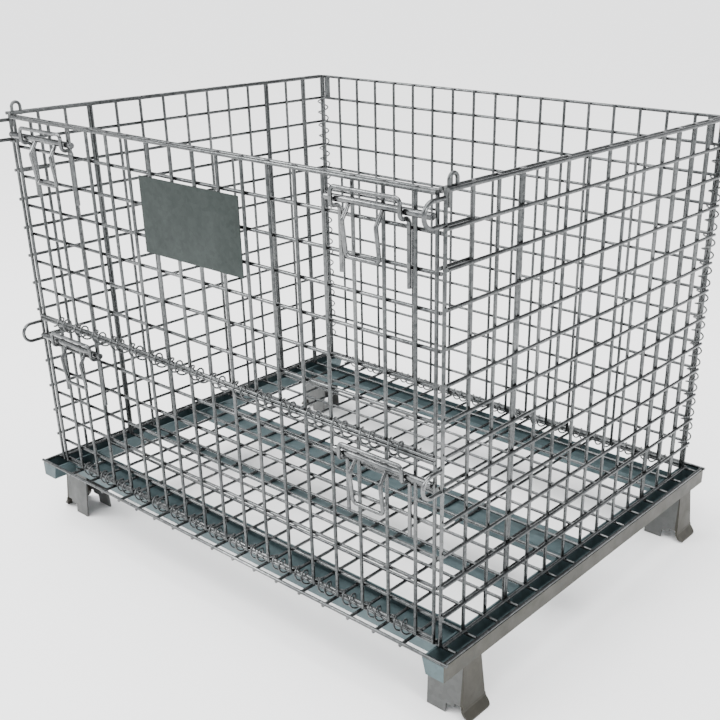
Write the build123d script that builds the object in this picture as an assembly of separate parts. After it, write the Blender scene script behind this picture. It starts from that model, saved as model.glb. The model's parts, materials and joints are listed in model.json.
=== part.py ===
from build123d import *
import os
from math import cos, radians, sin

# Folding wire mesh stacking container with a half drop gate.
# X runs along the long front, Y from front (-) to back (+), Z up from the floor.
# The origin is the centre of the whole footprint, keepers included, at floor level.
# The dimensions below are measured from the middle of the base, SHIFT_Y behind the origin.

# ---- driving dimensions, millimetres ----
BASE_L = 1000.0          # over the side channels
BASE_W = 800.0           # over the front and back edge wires
WIRE = 5.5               # mesh wire diameter
GAP = 0.05               # weld line left between two crossing wires
LAYER = WIRE + GAP       # centre distance of crossing wires
PITCH_X = 52.0           # mesh pitch along the length
PITCH_Y = 53.0           # mesh pitch along the depth
PITCH_Z = 50.0           # mesh pitch up the panels
TOP_CELL = 45.0          # height of the uppermost cell
ROWS = 13                # horizontal wires under the top rail
CELLS_X = 18
CELLS_Y = 14

FOOT_H = 90.0
CHANNEL_H = 27.0         # side channels
CHANNEL_W = 41.0         # over their open top
CHANNEL_LOW = (466.0, 500.0)             # X of their walls at the bottom
CROSS_H = 21.4           # cross channels
CROSS_W = 60.0
CROSS_Y = 327.0          # centre line of the front and back ones
SHEET = 3.0              # channel and foot sheet

HINGE_STEP = 6.0         # centre distance of the two wires inside a spiral
SPIRAL_R = 10.5          # centre line radius of a spiral turn
SPIRAL_WIRE = 3.0
SHIFT_Y = 7.0            # from the origin back to the middle of the base

# ---- levels and planes that follow from them ----
RIM_Z = FOOT_H + CHANNEL_H
DECK_Z = RIM_Z + GAP + WIRE / 2          # long deck wires
CROSS_Z = DECK_Z - LAYER                 # short deck wires, one layer lower
BOTTOM_Z = DECK_Z + HINGE_STEP           # lowest wire of every panel
TOP_Z = BOTTOM_Z + (ROWS - 1) * PITCH_Z + TOP_CELL
ROW_Z = [TOP_Z - TOP_CELL - PITCH_Z * i for i in range(ROWS)]
GATE_TOP = TOP_Z - 4.5                   # top rail of the drop gate
SPLIT_Z = TOP_Z - 357.0                  # top wire of the lower front panel
GATE_Z = SPLIT_Z + HINGE_STEP            # bottom wire of the drop gate
GATE_ROW_Z = [GATE_TOP - PITCH_Z * (i + 1) for i in range(6)]
LOWER_ROW_Z = [SPLIT_Z - PITCH_Z * (i + 1) for i in range(5)] + [BOTTOM_Z]

HALF_Y = CELLS_Y * PITCH_Y / 2           # 371: uprights of front and back panels
SIDE_X = 470.0                           # uprights of the side panels
FRONT_HALF = 460.5                       # half length of the front panels
FRONT_SHIFT = 8.0                        # their uprights stand this far right of the deck wires
BACK_EDGE_X = SIDE_X - HINGE_STEP        # edge upright of the back panel
FRONT_IN_Y = -HALF_Y + LAYER             # rails behind the front uprights
FRONT_OUT_Y = -HALF_Y - LAYER            # rails before the front uprights
BACK_OUT_Y = HALF_Y + LAYER

# ---- latches ----
BOLT_D = 10.0
BOLT_L = 178.0
BOLT_TRAVEL = 21.0                       # from the stored place into the keeper
STAPLE_D = 6.0
STAPLE_X = (298.0, 414.0)                # its two legs
STAPLE_LEG = 98.0
BOLT_Y = -HALF_Y - WIRE / 2 - 0.75 - BOLT_D / 2
BOLT_END = 459.0                         # drawn back, clear of the keeper
BOLT_X = (BOLT_END - BOLT_L, BOLT_END)
HANDLE_D = 6.0
HANDLE_END = STAPLE_X[1] - 12.1 - BOLT_TRAVEL   # pushed home, it misses the gate's uprights
HANDLE_X = (HANDLE_END - 57.0, HANDLE_END)
HANDLE_TILT = 35.0                       # degrees, upper part of the handle
HANDLE_TOP = 27.0
HANDLE_DROP = 47.0
LATCH_Z = (TOP_Z - 32.0, SPLIT_Z - 31.0)  # gate pair, lower pair
KEEPER_X = SIDE_X
KEEPER_HALF = 16.0
KEEPER_RISE = 6.0                        # its middle above the bolt
KEEPER_Y = (-HALF_Y - WIRE / 2 - GAP, -411.0)

# ---- name plate, blank ----
PLATE_X = (-120.0, 105.0)
PLATE_Z = (TOP_Z - 176.0, TOP_Z - 58.0)
PLATE_T = 1.2

os.makedirs("parts", exist_ok=True)


def save(name, *solids):
    """Write one node, a single solid or a group of separate ones."""
    placed = [solid.moved(Location((0, SHIFT_Y, 0))) for solid in solids]
    shape = placed[0] if len(placed) == 1 else Compound(placed)
    export_step(shape, "parts/" + name + ".step")


def bar(start, end, diameter=WIRE):
    """A straight round wire between two points."""
    a, b = Vector(*start), Vector(*end)
    return Solid.make_cylinder(diameter / 2, (b - a).length, Plane(origin=a, z_dir=b - a))


def bent(points, radius, diameter):
    """A round wire bent through the given points."""
    path = FilletPolyline(points, radius=radius)
    section = Plane(origin=path @ 0, z_dir=path % 0) * Circle(diameter / 2)
    return sweep(section, path=path).solids()[0]


def box(x, y, z):
    """A plain block from three (low, high) pairs."""
    size = [hi - lo for lo, hi in (x, y, z)]
    return Solid.make_box(*size, Plane(origin=(x[0], y[0], z[0])))


def turn(centre, direction):
    """One turn of a spiral hinge."""
    return Solid.make_torus(SPIRAL_R, SPIRAL_WIRE / 2, Plane(origin=centre, z_dir=direction))


def mirror_x(shape):
    """The left-hand twin of a right-hand piece."""
    return shape.mirror(Plane.YZ)


def spread(count, pitch):
    """Evenly pitched positions about zero."""
    return [pitch * (i - (count - 1) / 2) for i in range(count)]


# ---- base: channels ----
def side_channel():
    """The right-hand channel, open upward and closed at both ends, narrower at the bottom."""
    half_y = BASE_W / 2 - 1
    x0, x1 = BASE_L / 2 - CHANNEL_W, BASE_L / 2
    low0, low1 = CHANNEL_LOW
    outline = Polyline((x0, RIM_Z), (low0, FOOT_H), (low1, FOOT_H), (x1, RIM_Z), close=True)
    floor = FOOT_H + SHEET
    room = Polyline(
        (x0 + SHEET, RIM_Z),
        (low0 + SHEET, floor),
        (low1 - SHEET, floor),
        (x1 - SHEET, RIM_Z),
        (x1 - SHEET, RIM_Z + 5),
        (x0 + SHEET, RIM_Z + 5),
        close=True,
    )
    block = extrude(Plane.XZ * make_face(outline), amount=half_y, both=True)
    return (block - extrude(Plane.XZ * make_face(room), amount=half_y - SHEET, both=True)).solids()[0]


def cross_channel(centre_y, open_up):
    half_x = BASE_L / 2 - CHANNEL_W - GAP
    top = CROSS_Z - WIRE / 2 - GAP
    y = (centre_y - CROSS_W / 2, centre_y + CROSS_W / 2)
    block = box((-half_x, half_x), y, (top - CROSS_H, top))
    z = (top - CROSS_H + SHEET, top + 5) if open_up else (top - CROSS_H - 5, top - SHEET)
    room = box((-half_x - 5, half_x + 5), (y[0] + SHEET, y[1] - SHEET), z)
    return (block - room).solids()[0]


def strip(centre_y, width=24.0):
    half_x = BASE_L / 2 - CHANNEL_W - GAP
    top = CROSS_Z - WIRE / 2 - GAP
    y = (centre_y - width / 2, centre_y + width / 2)
    return box((-half_x, half_x), y, (top - SHEET, top))


save("base_channel_right", side_channel())
save("base_channel_left", mirror_x(side_channel()))
save("base_channel_front", cross_channel(-CROSS_Y, True))
save("base_channel_middle", cross_channel(0.0, False))
save("base_channel_back", cross_channel(CROSS_Y, True))
save("base_strip", strip(-165.0))

# ---- base: deck mesh ----
EDGE_X = BASE_L / 2 - WIRE / 2           # wire on the outer wall of a side channel
EDGE_Y = BASE_W / 2 - WIRE / 2
long_x = EDGE_X - WIRE / 2 - GAP
long_y = [PITCH_Y * i for i in range(-6, 7)] + [FRONT_IN_Y, BACK_OUT_Y]
save("deck_long_wires", *[bar((-long_x, y, DECK_Z), (long_x, y, DECK_Z)) for y in long_y])
short_x = spread(CELLS_X - 1, PITCH_X)
save("deck_short_wires", *[bar((x, -EDGE_Y, CROSS_Z), (x, EDGE_Y, CROSS_Z)) for x in short_x])
edge_end = EDGE_Y - WIRE / 2 - GAP
save(
    "deck_edge_wires",
    *[bar((-EDGE_X - 6, y, DECK_Z), (EDGE_X + 6, y, DECK_Z)) for y in (-EDGE_Y, EDGE_Y)],
    *[bar((x, -edge_end, DECK_Z), (x, edge_end, DECK_Z)) for x in (-EDGE_X, EDGE_X)],
)

# ---- feet: folded sheet, tapered, with a flared outer lip ----
FOOT_Y = 332.0
FOOT_TOP = (434.0, 500.0, 21.0)          # inner X, outer X, half width at the channel
FOOT_LOW = (437.0, 506.0, 28.0)          # the same at floor level
LIP_Z = 16.0
LIP_OUT = 10.0
NOTCH_X = (472.0, 488.0, 500.5)          # start, step and end of the notch in the lower edge


def foot_block(inset):
    """The solid outline of a foot, drawn in by the sheet thickness."""
    layers = []
    for (inner, outer, half), z in ((FOOT_LOW, 0.0), (FOOT_TOP, FOOT_H - GAP)):
        width, depth = outer - inner, 2 * half
        shift = inner - (10 if inset else 0)
        size_x = width - inset + (10 if inset else 0)
        face = Plane(origin=(shift + size_x / 2, 0, z)) * Rectangle(size_x, depth - 2 * inset)
        layers.append(face)
    return loft(layers, ruled=True).solids()[0]


def foot(side, depth):
    shell = foot_block(0.0) - foot_block(SHEET)
    drop = (FOOT_TOP[1] - FOOT_LOW[1]) / FOOT_H * LIP_Z
    x0 = FOOT_LOW[1] + drop
    notch = box((NOTCH_X[0], x0 + 20), (-60, 60), (-1, LIP_Z))
    notch += box((NOTCH_X[1], NOTCH_X[2]), (-60, 60), (-1, LIP_Z + 6))
    shell = shell - notch
    profile = Polyline(
        (x0 - SHEET, LIP_Z + 4),
        (x0 - 0.4, LIP_Z + 4),
        (x0 + 0.8, LIP_Z - 1),
        (x0 + LIP_OUT, SHEET),
        (x0 + LIP_OUT, 0),
        (x0 + LIP_OUT - 4, 0),
        (x0 - SHEET, LIP_Z - 2),
        close=True,
    )
    lip = extrude(Plane.XZ * make_face(profile), amount=FOOT_LOW[2] + 1, both=True)
    window = Plane.YZ * Pos(0, 20) * RectangleRounded(2 * FOOT_LOW[2], 40, 9)
    lip = lip & extrude(window, amount=700)
    solid = (shell + lip).solids().sort_by(SortBy.VOLUME)[-1]
    if side < 0:
        solid = mirror_x(solid)
    return solid.moved(Location((0, depth * FOOT_Y, 0)))


for side, side_name in ((-1, "left"), (1, "right")):
    for depth, depth_name in ((-1, "front"), (1, "back")):
        save("foot_" + depth_name + "_" + side_name, foot(side, depth))

# ---- back panel, standing on the base ----
back_x = spread(CELLS_X - 1, PITCH_X) + [-BACK_EDGE_X, BACK_EDGE_X]
low_end, high_end = BOTTOM_Z - WIRE / 2, TOP_Z + WIRE / 2
save("back_uprights", *[bar((x, HALF_Y, low_end), (x, HALF_Y, high_end)) for x in back_x])
back_end = BACK_EDGE_X + WIRE / 2
save(
    "back_rails",
    *[bar((-back_end, BACK_OUT_Y, z), (back_end, BACK_OUT_Y, z)) for z in [TOP_Z] + ROW_Z],
)
tags = [
    box((x - 7, x + 7), (HALF_Y - WIRE / 2 - 2.05, HALF_Y - WIRE / 2 - GAP), (TOP_Z - 44, TOP_Z))
    for x in (-448.0, 448.0)
]
save("spiral_tags", *tags)

# ---- spirals: two turns to each mesh cell, each turn clear of the crossing wires ----
turn_x = [x + s * PITCH_X / 4 for x in short_x for s in (-1, 1)]
front_turn_x = [x + FRONT_SHIFT for x in turn_x]
turn_z = [z + s * PITCH_Z / 4 for z in ROW_Z[:-1] for s in (-1, 1)]
low_mid = (DECK_Z + BOTTOM_Z) / 2
gate_mid = (SPLIT_Z + GATE_Z) / 2
along_x, along_z = (1, 0, 0), (0, 0, 1)
save("spiral_front_bottom", *[turn((x, FRONT_IN_Y, low_mid), along_x) for x in turn_x])
save("spiral_back_bottom", *[turn((x, BACK_OUT_Y, low_mid), along_x) for x in turn_x])
save("spiral_gate", *[turn((x, FRONT_OUT_Y, gate_mid), along_x) for x in front_turn_x])
corner_x = (SIDE_X + BACK_EDGE_X) / 2
for side, side_name in ((-1, "left"), (1, "right")):
    coils = [turn((side * corner_x, HALF_Y, z), along_z) for z in turn_z]
    save("spiral_back_" + side_name, *coils)

# ---- front: lower panel and drop gate ----
front_x = [x + FRONT_SHIFT for x in short_x] + [-FRONT_HALF + WIRE / 2, FRONT_HALF - WIRE / 2]


def front_uprights(z_low, z_high):
    return [bar((x, -HALF_Y, z_low), (x, -HALF_Y, z_high)) for x in front_x]


def front_rail(y, z):
    return bar((-FRONT_HALF, y, z), (FRONT_HALF, y, z))


save("lower_uprights", *front_uprights(low_end, SPLIT_Z + WIRE / 2))
lower_rails = [front_rail(FRONT_IN_Y, z) for z in LOWER_ROW_Z]
save("lower_rails", front_rail(FRONT_OUT_Y, SPLIT_Z), *lower_rails)
save("gate_uprights", *front_uprights(GATE_Z - WIRE / 2, GATE_TOP + WIRE / 2))
gate_rails = [front_rail(FRONT_IN_Y, z) for z in [GATE_TOP] + GATE_ROW_Z]
save("gate_rails", front_rail(FRONT_OUT_Y, GATE_Z), *gate_rails)
save("gate_top_rail", front_rail(FRONT_OUT_Y, GATE_TOP))
plate_y = -HALF_Y - WIRE / 2 - GAP
save("name_plate", box(PLATE_X, (plate_y - PLATE_T, plate_y), PLATE_Z))


# ---- latches: a staple that guides the bolt, the bolt, and its hanging handle ----
def staple(z):
    leg_y = FRONT_IN_Y - (WIRE + STAPLE_D) / 2 - GAP
    under, over = z - 9.5, z + 16.0
    before = BOLT_Y - 9.0
    x0, x1 = STAPLE_X
    half = [
        (x0, leg_y, z - STAPLE_LEG),
        (x0, leg_y, under),
        (x0, before, under),
        (x0, before, over),
    ]
    return bent(half + [(x1, y, h) for _, y, h in reversed(half)], 7.5, STAPLE_D)


def bolt(z):
    rod = bar((BOLT_X[0], BOLT_Y, z), (BOLT_X[1], BOLT_Y, z), BOLT_D)
    return chamfer(rod.edges().filter_by(GeomType.CIRCLE), 1.2).solids()[0]


def handle(z):
    lean = radians(HANDLE_TILT)
    out, down = -sin(lean), -cos(lean)
    start = BOLT_D / 2 + 0.3
    x0, x1 = HANDLE_X
    half = [
        (x0, BOLT_Y + out * start, z + down * start),
        (x0, BOLT_Y + out * HANDLE_TOP, z + down * HANDLE_TOP),
        (x0, BOLT_Y + out * HANDLE_TOP + 6, z + down * HANDLE_TOP - HANDLE_DROP),
    ]
    return bent(half + [(x1, y, h) for _, y, h in reversed(half)], 7.0, HANDLE_D)


for z, level in zip(LATCH_Z, ("gate", "lower")):
    for name, piece in (("staple", staple(z)), ("bolt", bolt(z)), ("handle", handle(z))):
        save(level + "_" + name + "_right", piece)
        save(level + "_" + name + "_left", mirror_x(piece))

# ---- side panels ----
side_y = [-HALF_Y + PITCH_Y * i for i in range(CELLS_Y + 1)]
double_y = [HALF_Y - PITCH_Y * k - WIRE - GAP for k in (1, 3, 11)]
rail_y = (-HALF_Y - WIRE / 2, HALF_Y + 1)
rail_x = SIDE_X + LAYER
inner_x = SIDE_X - LAYER


def side_rails():
    return [bar((rail_x, rail_y[0], z), (rail_x, rail_y[1], z)) for z in ROW_Z]


def side_top_rails():
    outer = bar((rail_x, rail_y[0], TOP_Z), (rail_x, rail_y[1], TOP_Z))
    inner = bar((inner_x, rail_y[0], TOP_Z), (inner_x, HALF_Y - 8, TOP_Z))
    return [outer, inner]


def braces():
    """Short wires that stiffen the front cell beside each keeper."""
    ends = (rail_y[0], -HALF_Y + PITCH_Y + 3)
    levels = (ROW_Z[0], ROW_Z[1], ROW_Z[7])
    return [bar((inner_x, ends[0], z), (inner_x, ends[1], z)) for z in levels]


def keeper(z):
    back, front = KEEPER_Y
    corners = [(back, KEEPER_HALF), (front, KEEPER_HALF), (front, -KEEPER_HALF), (back, -KEEPER_HALF)]
    points = [(KEEPER_X, y, z + KEEPER_RISE + dz) for y, dz in corners]
    return bent(points, KEEPER_HALF - 0.2, STAPLE_D)


def eye():
    """The loop that stands above the front corner, its legs between the two top rails."""
    y0, y1, top = -HALF_Y + 6.0, -HALF_Y + 21.5, TOP_Z + 17.0
    points = [(y0, TOP_Z - 22), (y0, top), (y1, top), (y1, TOP_Z - 4)]
    return bent([(SIDE_X, y, z) for y, z in points], 7.6, WIRE - 0.1)


def side_pieces():
    """Node name to its solids, for the right-hand panel."""
    return {
        "uprights": [bar((SIDE_X, y, low_end), (SIDE_X, y, high_end)) for y in side_y],
        "stiffeners": [bar((SIDE_X, y, low_end), (SIDE_X, y, high_end)) for y in double_y],
        "rails": side_rails(),
        "top_rails": side_top_rails(),
        "braces": braces(),
        "keeper_upper": [keeper(LATCH_Z[0])],
        "keeper_lower": [keeper(LATCH_Z[1])],
        "eye": [eye()],
    }


for name, solids in side_pieces().items():
    save("right_" + name, *solids)
    save("left_" + name, *[mirror_x(s) for s in solids])
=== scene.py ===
import json
import math

import bpy
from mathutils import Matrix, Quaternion, Vector


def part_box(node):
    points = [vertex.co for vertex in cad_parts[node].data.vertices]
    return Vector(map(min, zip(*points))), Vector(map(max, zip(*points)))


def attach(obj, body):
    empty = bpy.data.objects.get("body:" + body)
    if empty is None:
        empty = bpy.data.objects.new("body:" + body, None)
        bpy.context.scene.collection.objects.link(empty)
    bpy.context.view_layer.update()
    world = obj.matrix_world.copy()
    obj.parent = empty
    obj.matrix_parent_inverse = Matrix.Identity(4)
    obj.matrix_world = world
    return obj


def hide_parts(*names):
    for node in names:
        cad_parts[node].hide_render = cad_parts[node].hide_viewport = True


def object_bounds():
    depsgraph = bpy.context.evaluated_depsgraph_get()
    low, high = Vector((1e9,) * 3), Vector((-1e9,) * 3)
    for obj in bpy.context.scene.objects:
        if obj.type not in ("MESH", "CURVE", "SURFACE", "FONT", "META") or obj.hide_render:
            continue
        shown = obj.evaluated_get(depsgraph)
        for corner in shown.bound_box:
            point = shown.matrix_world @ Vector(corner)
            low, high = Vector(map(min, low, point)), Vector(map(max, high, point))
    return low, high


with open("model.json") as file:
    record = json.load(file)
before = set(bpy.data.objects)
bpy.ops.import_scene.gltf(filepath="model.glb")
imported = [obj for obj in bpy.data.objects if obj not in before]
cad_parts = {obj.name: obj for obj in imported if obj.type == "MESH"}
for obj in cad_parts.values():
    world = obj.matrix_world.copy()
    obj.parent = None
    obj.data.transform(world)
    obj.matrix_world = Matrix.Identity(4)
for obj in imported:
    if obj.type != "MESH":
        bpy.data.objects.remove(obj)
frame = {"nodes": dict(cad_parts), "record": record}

cad_low, cad_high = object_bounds()

# ---- named sizes, metres and degrees ----
COIL_WIRE = 0.003        # spiral hinge wire
COIL_STEPS = 40          # points to each mesh cell of a coil
FLOOR_HALF = 30.0
FLOOR_DROP = 0.0005      # the floor lies this far under the feet
FLOOR_TONE = (0.93, 0.93, 0.93)
FLOOR_ROUGHNESS = 0.9

SENSOR_WIDTH = 36.0      # millimetres, as the lens
LENS = 52.06
SHIFT_X, SHIFT_Y = -1 / 12, 1 / 9
CAMERA_PLACE = (1.226, -1.317, 1.024)
AZIMUTH, ELEVATION, ROLL = 39.811, 25.304, -0.141

SOFTBOXES = (            # name, place, size, watts
    ("top_light", (0.2, 0.2, 3.4), (3.2, 3.2), 60.0),
    ("key_light", (-2.6, -2.4, 2.6), (0.9, 1.2), 110.0),
    ("fill_light", (3.0, -0.6, 1.6), (0.7, 1.2), 50.0),
)
SKY_POWER, SKY_ANGLE = 6.6, 80
SKY_LEAN = (14, -10, 0)
WALL_TONE = (0.97, 0.98, 1.0)
WALL_LIGHT = (2.25, 0.5)         # at the horizon, overhead
WALL_HEIGHT = (0.12, 0.5)        # where the first begins to fade and where the second is reached


# ---- node helpers ----
def new_material(name):
    mat = bpy.data.materials.new(name)
    mat.use_nodes = True
    tree = mat.node_tree
    tree.nodes.clear()
    out = tree.nodes.new("ShaderNodeOutputMaterial")
    shader = tree.nodes.new("ShaderNodeBsdfPrincipled")
    tree.links.new(shader.outputs["BSDF"], out.inputs["Surface"])
    return mat, tree, shader


def noise(tree, scale, detail=4.0, rough=0.55):
    """A noise value on the object's own coordinates."""
    where = tree.nodes.new("ShaderNodeTexCoord")
    tex = tree.nodes.new("ShaderNodeTexNoise")
    tex.inputs["Scale"].default_value = scale
    tex.inputs["Detail"].default_value = detail
    tex.inputs["Roughness"].default_value = rough
    tree.links.new(where.outputs["Object"], tex.inputs["Vector"])
    return tex.outputs["Fac"]


def spangle(tree, scale):
    """A random value for each crystal of a galvanised surface."""
    where = tree.nodes.new("ShaderNodeTexCoord")
    tex = tree.nodes.new("ShaderNodeTexVoronoi")
    tex.inputs["Scale"].default_value = scale
    split = tree.nodes.new("ShaderNodeSeparateColor")
    tree.links.new(where.outputs["Object"], tex.inputs["Vector"])
    tree.links.new(tex.outputs["Color"], split.inputs["Color"])
    return split.outputs["Red"]


def ramp(tree, value, stops):
    """Colours in place of a value, from (position, colour) stops."""
    node = tree.nodes.new("ShaderNodeValToRGB")
    while len(node.color_ramp.elements) < len(stops):
        node.color_ramp.elements.new(0.5)
    for element, (place, colour) in zip(node.color_ramp.elements, stops):
        element.position = place
        element.color = (*colour, 1)
    tree.links.new(value, node.inputs["Fac"])
    return node.outputs["Color"]


def mix(tree, first, second, amount, mode="MIX"):
    """Two colours mixed. The second is a socket or a tuple, the amount a socket or a float."""
    node = tree.nodes.new("ShaderNodeMix")
    node.data_type = "RGBA"
    node.blend_type = mode
    if isinstance(amount, float):
        node.inputs["Factor"].default_value = amount
    else:
        tree.links.new(amount, node.inputs["Factor"])
    tree.links.new(first, node.inputs["A"])
    if isinstance(second, tuple):
        node.inputs["B"].default_value = (*second, 1)
    else:
        tree.links.new(second, node.inputs["B"])
    return node.outputs["Result"]


def fit(tree, value, low, high, start=0.3, end=0.7):
    """A value rescaled so that start becomes low and end becomes high."""
    node = tree.nodes.new("ShaderNodeMapRange")
    node.inputs["From Min"].default_value = start
    node.inputs["From Max"].default_value = end
    node.inputs["To Min"].default_value = low
    node.inputs["To Max"].default_value = high
    tree.links.new(value, node.inputs["Value"])
    return node.outputs["Result"]


def bump(tree, shader, value, strength, distance):
    node = tree.nodes.new("ShaderNodeBump")
    node.inputs["Strength"].default_value = strength
    node.inputs["Distance"].default_value = distance
    tree.links.new(value, node.inputs["Height"])
    tree.links.new(node.outputs["Normal"], shader.inputs["Normal"])


# ---- materials ----
def steel(name, tones, spots, rough, metal, grain, bump_depth, gloss=0.5):
    """Zinc-coated steel: broad tone changes, crystal grain, dull spots and fine roughness."""
    mat, tree, shader = new_material(name)
    dark, middle, light = tones
    broad = ramp(tree, noise(tree, scale=7.0, detail=5.0), [(0.3, dark), (0.5, middle), (0.72, light)])
    fine = ramp(tree, spangle(tree, grain), [(0.0, dark), (1.0, light)])
    colour = mix(tree, broad, fine, amount=0.35)
    patches = noise(tree, scale=60.0, detail=6.0, rough=0.7)
    dull = ramp(tree, patches, [(0.60, (0, 0, 0)), (0.74, (1, 1, 1))])
    colour = mix(tree, colour, spots, dull)
    tree.links.new(colour, shader.inputs["Base Color"])
    shader.inputs["Metallic"].default_value = metal
    shader.inputs["Specular IOR Level"].default_value = gloss
    tree.links.new(fit(tree, noise(tree, scale=38.0, detail=5.0), *rough), shader.inputs["Roughness"])
    bump(tree, shader, noise(tree, scale=420.0, detail=3.0), strength=0.35, distance=bump_depth)
    return mat


def away_from_middle(tree):
    """Distance from the X = 0 plane."""
    where = tree.nodes.new("ShaderNodeTexCoord")
    split = tree.nodes.new("ShaderNodeSeparateXYZ")
    tree.links.new(where.outputs["Object"], split.inputs["Vector"])
    away = tree.nodes.new("ShaderNodeMath")
    away.operation = "ABSOLUTE"
    tree.links.new(split.outputs["X"], away.inputs[0])
    return away.outputs["Value"]


def sheet_steel(name, outer_painted_shade, inner_painted_reflection, edge, rough, metal):
    """Galvanised sheet: a darker, warm painted shade tone on the outward faces, past X = edge, and a
    paler, colder painted reflection of the sky on the inward faces.
    """
    mat, tree, shader = new_material(name)
    # painted light: the mask is 1 on the outward faces, which take the painted shade tone, and 0 on
    # the inward faces, which take the painted sky reflection
    shade_side_mask = fit(tree, away_from_middle(tree), 0.0, 1.0, start=edge - 0.0006, end=edge)
    tones = []
    for dark, light in (inner_painted_reflection, outer_painted_shade):
        cloud = noise(tree, scale=9.0, detail=4.0)
        tones.append(ramp(tree, cloud, [(0.32, dark), (0.68, light)]))
    colour = mix(tree, *tones, shade_side_mask)
    crystals = ramp(tree, spangle(tree, 120.0), [(0.0, (0.86, 0.86, 0.86)), (1.0, (1.1, 1.1, 1.1))])
    colour = mix(tree, colour, crystals, 0.8, "MULTIPLY")
    # dull patches at random, tinted with the dark end of the painted sky reflection
    patches = noise(tree, scale=45.0, detail=6.0, rough=0.7)
    dull = ramp(tree, patches, [(0.62, (0, 0, 0)), (0.78, (0.6, 0.6, 0.6))])
    colour = mix(tree, colour, inner_painted_reflection[0], dull)
    tree.links.new(colour, shader.inputs["Base Color"])
    shader.inputs["Metallic"].default_value = metal
    shader.inputs["Specular IOR Level"].default_value = 0.25
    tree.links.new(fit(tree, noise(tree, scale=30.0), *rough), shader.inputs["Roughness"])
    bump(tree, shader, noise(tree, scale=300.0, detail=3.0), strength=0.3, distance=0.0002)
    return mat


MATERIALS = {
    "zinc_wire": steel(
        "zinc_wire",
        tones=((0.034, 0.037, 0.038), (0.062, 0.066, 0.067), (0.160, 0.165, 0.166)),
        spots=(0.040, 0.041, 0.040),
        rough=(0.16, 0.36),
        metal=1.0,
        grain=260.0,
        bump_depth=0.0002,
    ),
    "channel_steel": sheet_steel(
        "channel_steel",
        # outward faces in a darker painted shade tone, inward faces in a paler bluish painted
        # reflection of the sky
        outer_painted_shade=((0.036, 0.035, 0.029), (0.056, 0.054, 0.045)),
        inner_painted_reflection=((0.046, 0.070, 0.076), (0.082, 0.115, 0.122)),
        edge=0.4992,
        rough=(0.34, 0.52),
        metal=0.55,
    ),
    "foot_steel": sheet_steel(
        "foot_steel",
        # outward faces in a darker painted shade tone, inward faces in a paler painted reflection of
        # the sky
        outer_painted_shade=((0.034, 0.032, 0.026), (0.054, 0.051, 0.042)),
        inner_painted_reflection=((0.070, 0.072, 0.070), (0.112, 0.115, 0.113)),
        edge=0.4985,
        rough=(0.36, 0.55),
        metal=0.55,
    ),
    "plate_steel": steel(
        "plate_steel",
        tones=((0.018, 0.024, 0.022), (0.024, 0.031, 0.029), (0.034, 0.042, 0.040)),
        spots=(0.017, 0.022, 0.021),
        rough=(0.42, 0.58),
        metal=0.55,
        grain=170.0,
        bump_depth=0.0002,
        gloss=0.15,
    ),
}
LATCH_STEEL = steel(
    "bolt_steel",
    tones=((0.044, 0.047, 0.048), (0.080, 0.084, 0.086), (0.200, 0.205, 0.206)),
    spots=(0.060, 0.060, 0.058),
    rough=(0.14, 0.32),
    metal=1.0,
    grain=190.0,
    bump_depth=0.0003,
)
LATCH_WORDS = ("bolt", "handle", "keeper", "staple")

slots = {s["node"]: s["material_slot"] for s in frame["record"]["subparts"]}
for name, obj in frame["nodes"].items():
    is_latch = any(word in name for word in LATCH_WORDS)
    obj.data.materials.clear()
    obj.data.materials.append(LATCH_STEEL if is_latch else MATERIALS[slots[name]])
    for face in obj.data.polygons:
        face.material_index = 0


# ---- spiral hinges: one continuous coil in place of each row of rings ----
def coil_points(node, along, wires, clear, ease, shift):
    """Points of a helix with two turns to each mesh cell, through the middles of the rings.

    It runs along axis number along, and passes each crossing wire at the clear angle, in
    degrees from the first cross axis towards the second: Y to Z, or X to Y. It turns more
    slowly there, by ease in radians. The passes can be shifted along the coil, in metres.
    """
    low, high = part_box(node)
    across = [i for i in range(3) if i != along]
    centre = (low + high) / 2
    radius = (high[across[0]] - low[across[0]] - COIL_WIRE) / 2
    start, end = low[along] + COIL_WIRE / 2, high[along] - COIL_WIRE / 2
    pitch = (end - start) / (wires - 0.5)
    first = start + pitch / 4 + shift
    points = []
    for i in range(int((wires - 0.5) * COIL_STEPS) + 1):
        place = start + pitch * i / COIL_STEPS
        u = (place - first) / pitch
        angle = math.radians(clear) + 2 * math.pi * 2 * u - ease * math.sin(2 * math.pi * u)
        spot = Vector(centre)
        spot[along] = place
        spot[across[0]] += radius * math.cos(angle)
        spot[across[1]] += radius * math.sin(angle)
        points.append(spot)
    return points


def coil(node, body, along, wires, clear, ease, shift=0.0):
    """One spiral hinge as a round wire along its helix."""
    points = coil_points(node, along, wires, clear, ease, shift)
    curve = bpy.data.curves.new(node + "_coil", "CURVE")
    curve.dimensions = "3D"
    curve.bevel_depth = COIL_WIRE / 2
    curve.bevel_resolution = 3
    curve.use_fill_caps = True
    line = curve.splines.new("POLY")
    line.points.add(len(points) - 1)
    for point, spot in zip(line.points, points):
        point.co = (*spot, 1)
    line.use_smooth = True
    curve.materials.append(MATERIALS["zinc_wire"])
    obj = bpy.data.objects.new(node + "_coil", curve)
    bpy.context.scene.collection.objects.link(obj)
    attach(obj, body)
    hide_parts(node)


coil("spiral_gate", "lower_front", along=0, wires=17, clear=0, ease=1.4)
coil("spiral_front_bottom", "base", along=0, wires=17, clear=0, ease=1.9, shift=0.004)
coil("spiral_back_bottom", "base", along=0, wires=17, clear=-4, ease=1.4)
coil("spiral_back_left", "base", along=2, wires=12, clear=-45, ease=0.4)
coil("spiral_back_right", "base", along=2, wires=12, clear=225, ease=0.4)


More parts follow.
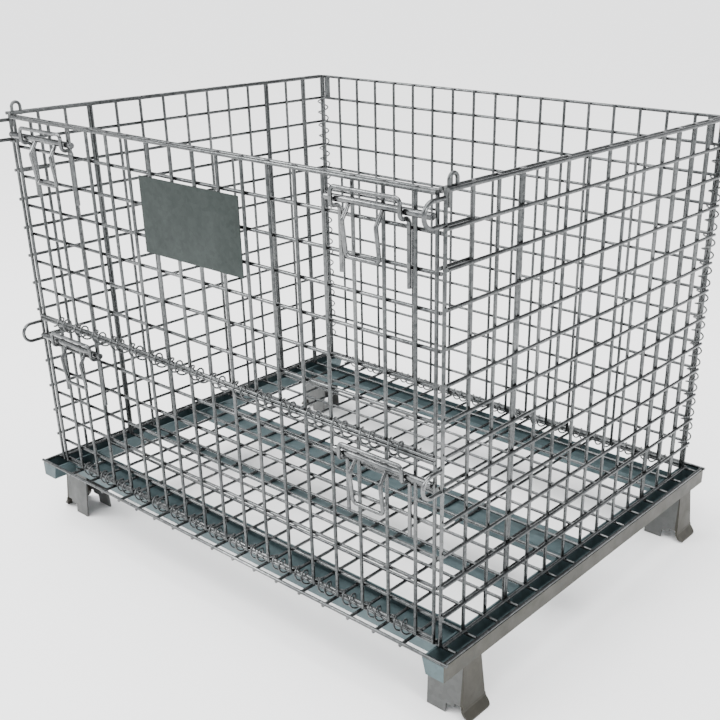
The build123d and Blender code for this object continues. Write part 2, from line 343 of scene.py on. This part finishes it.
# ---- floor ----
floor_mesh = bpy.data.meshes.new("floor")
corners = [(-1, -1), (1, -1), (1, 1), (-1, 1)]
floor_mesh.from_pydata([(x * FLOOR_HALF, y * FLOOR_HALF, 0) for x, y in corners], [], [(0, 1, 2, 3)])
floor = bpy.data.objects.new("floor", floor_mesh)
bpy.context.scene.collection.objects.link(floor)
floor.location.z = cad_low.z - FLOOR_DROP
paint, _, paint_shader = new_material("floor")
paint_shader.inputs["Base Color"].default_value = (*FLOOR_TONE, 1)
paint_shader.inputs["Roughness"].default_value = FLOOR_ROUGHNESS
floor_mesh.materials.append(paint)


# ---- light ----
def softbox(name, place, size, power):
    """A rectangular area light that faces the middle of the object."""
    light = bpy.data.lights.new(name, "AREA")
    light.shape = "RECTANGLE"
    light.size, light.size_y = size
    light.energy = power
    obj = bpy.data.objects.new(name, light)
    bpy.context.scene.collection.objects.link(obj)
    obj.location = place
    middle = (cad_low + cad_high) / 2
    obj.rotation_euler = (middle - Vector(place)).to_track_quat("-Z", "Y").to_euler()


for row in SOFTBOXES:
    softbox(*row)

# a wide overhead source keeps the floor evenly pale
sky_data = bpy.data.lights.new("sky_light", "SUN")
sky_data.energy = SKY_POWER
sky_data.angle = math.radians(SKY_ANGLE)
sky = bpy.data.objects.new("sky_light", sky_data)
bpy.context.scene.collection.objects.link(sky)
sky.rotation_euler = [math.radians(angle) for angle in SKY_LEAN]

# the studio walls: nearly as pale as the floor at the horizon, darker overhead
world = bpy.data.worlds.new("studio")
bpy.context.scene.world = world
world.use_nodes = True
wall = world.node_tree
background = wall.nodes["Background"]
direction = wall.nodes.new("ShaderNodeTexCoord")
height = wall.nodes.new("ShaderNodeSeparateXYZ")
wall.links.new(direction.outputs["Generated"], height.inputs["Vector"])
strength = fit(wall, height.outputs["Z"], *WALL_LIGHT, *WALL_HEIGHT)
wall.links.new(strength, background.inputs["Strength"])
background.inputs["Color"].default_value = (*WALL_TONE, 1)

# ---- camera ----
camera_data = bpy.data.cameras.new("camera")
camera = bpy.data.objects.new("camera", camera_data)
bpy.context.scene.collection.objects.link(camera)
bpy.context.scene.camera = camera
camera_data.sensor_width = SENSOR_WIDTH
camera_data.lens = LENS
camera_data.shift_x = SHIFT_X
camera_data.shift_y = SHIFT_Y
camera_data.dof.use_dof = False
camera_data.clip_start, camera_data.clip_end = 0.05, 100.0
azimuth, elevation, roll = (math.radians(angle) for angle in (AZIMUTH, ELEVATION, ROLL))
forward = Vector(
    (
        -math.sin(azimuth) * math.cos(elevation),
        math.cos(azimuth) * math.cos(elevation),
        -math.sin(elevation),
    )
)
camera.location = CAMERA_PLACE
camera.rotation_mode = "QUATERNION"
turn = forward.to_track_quat("-Z", "Y")
turn.rotate(Quaternion(forward, roll))
camera.rotation_quaternion = turn
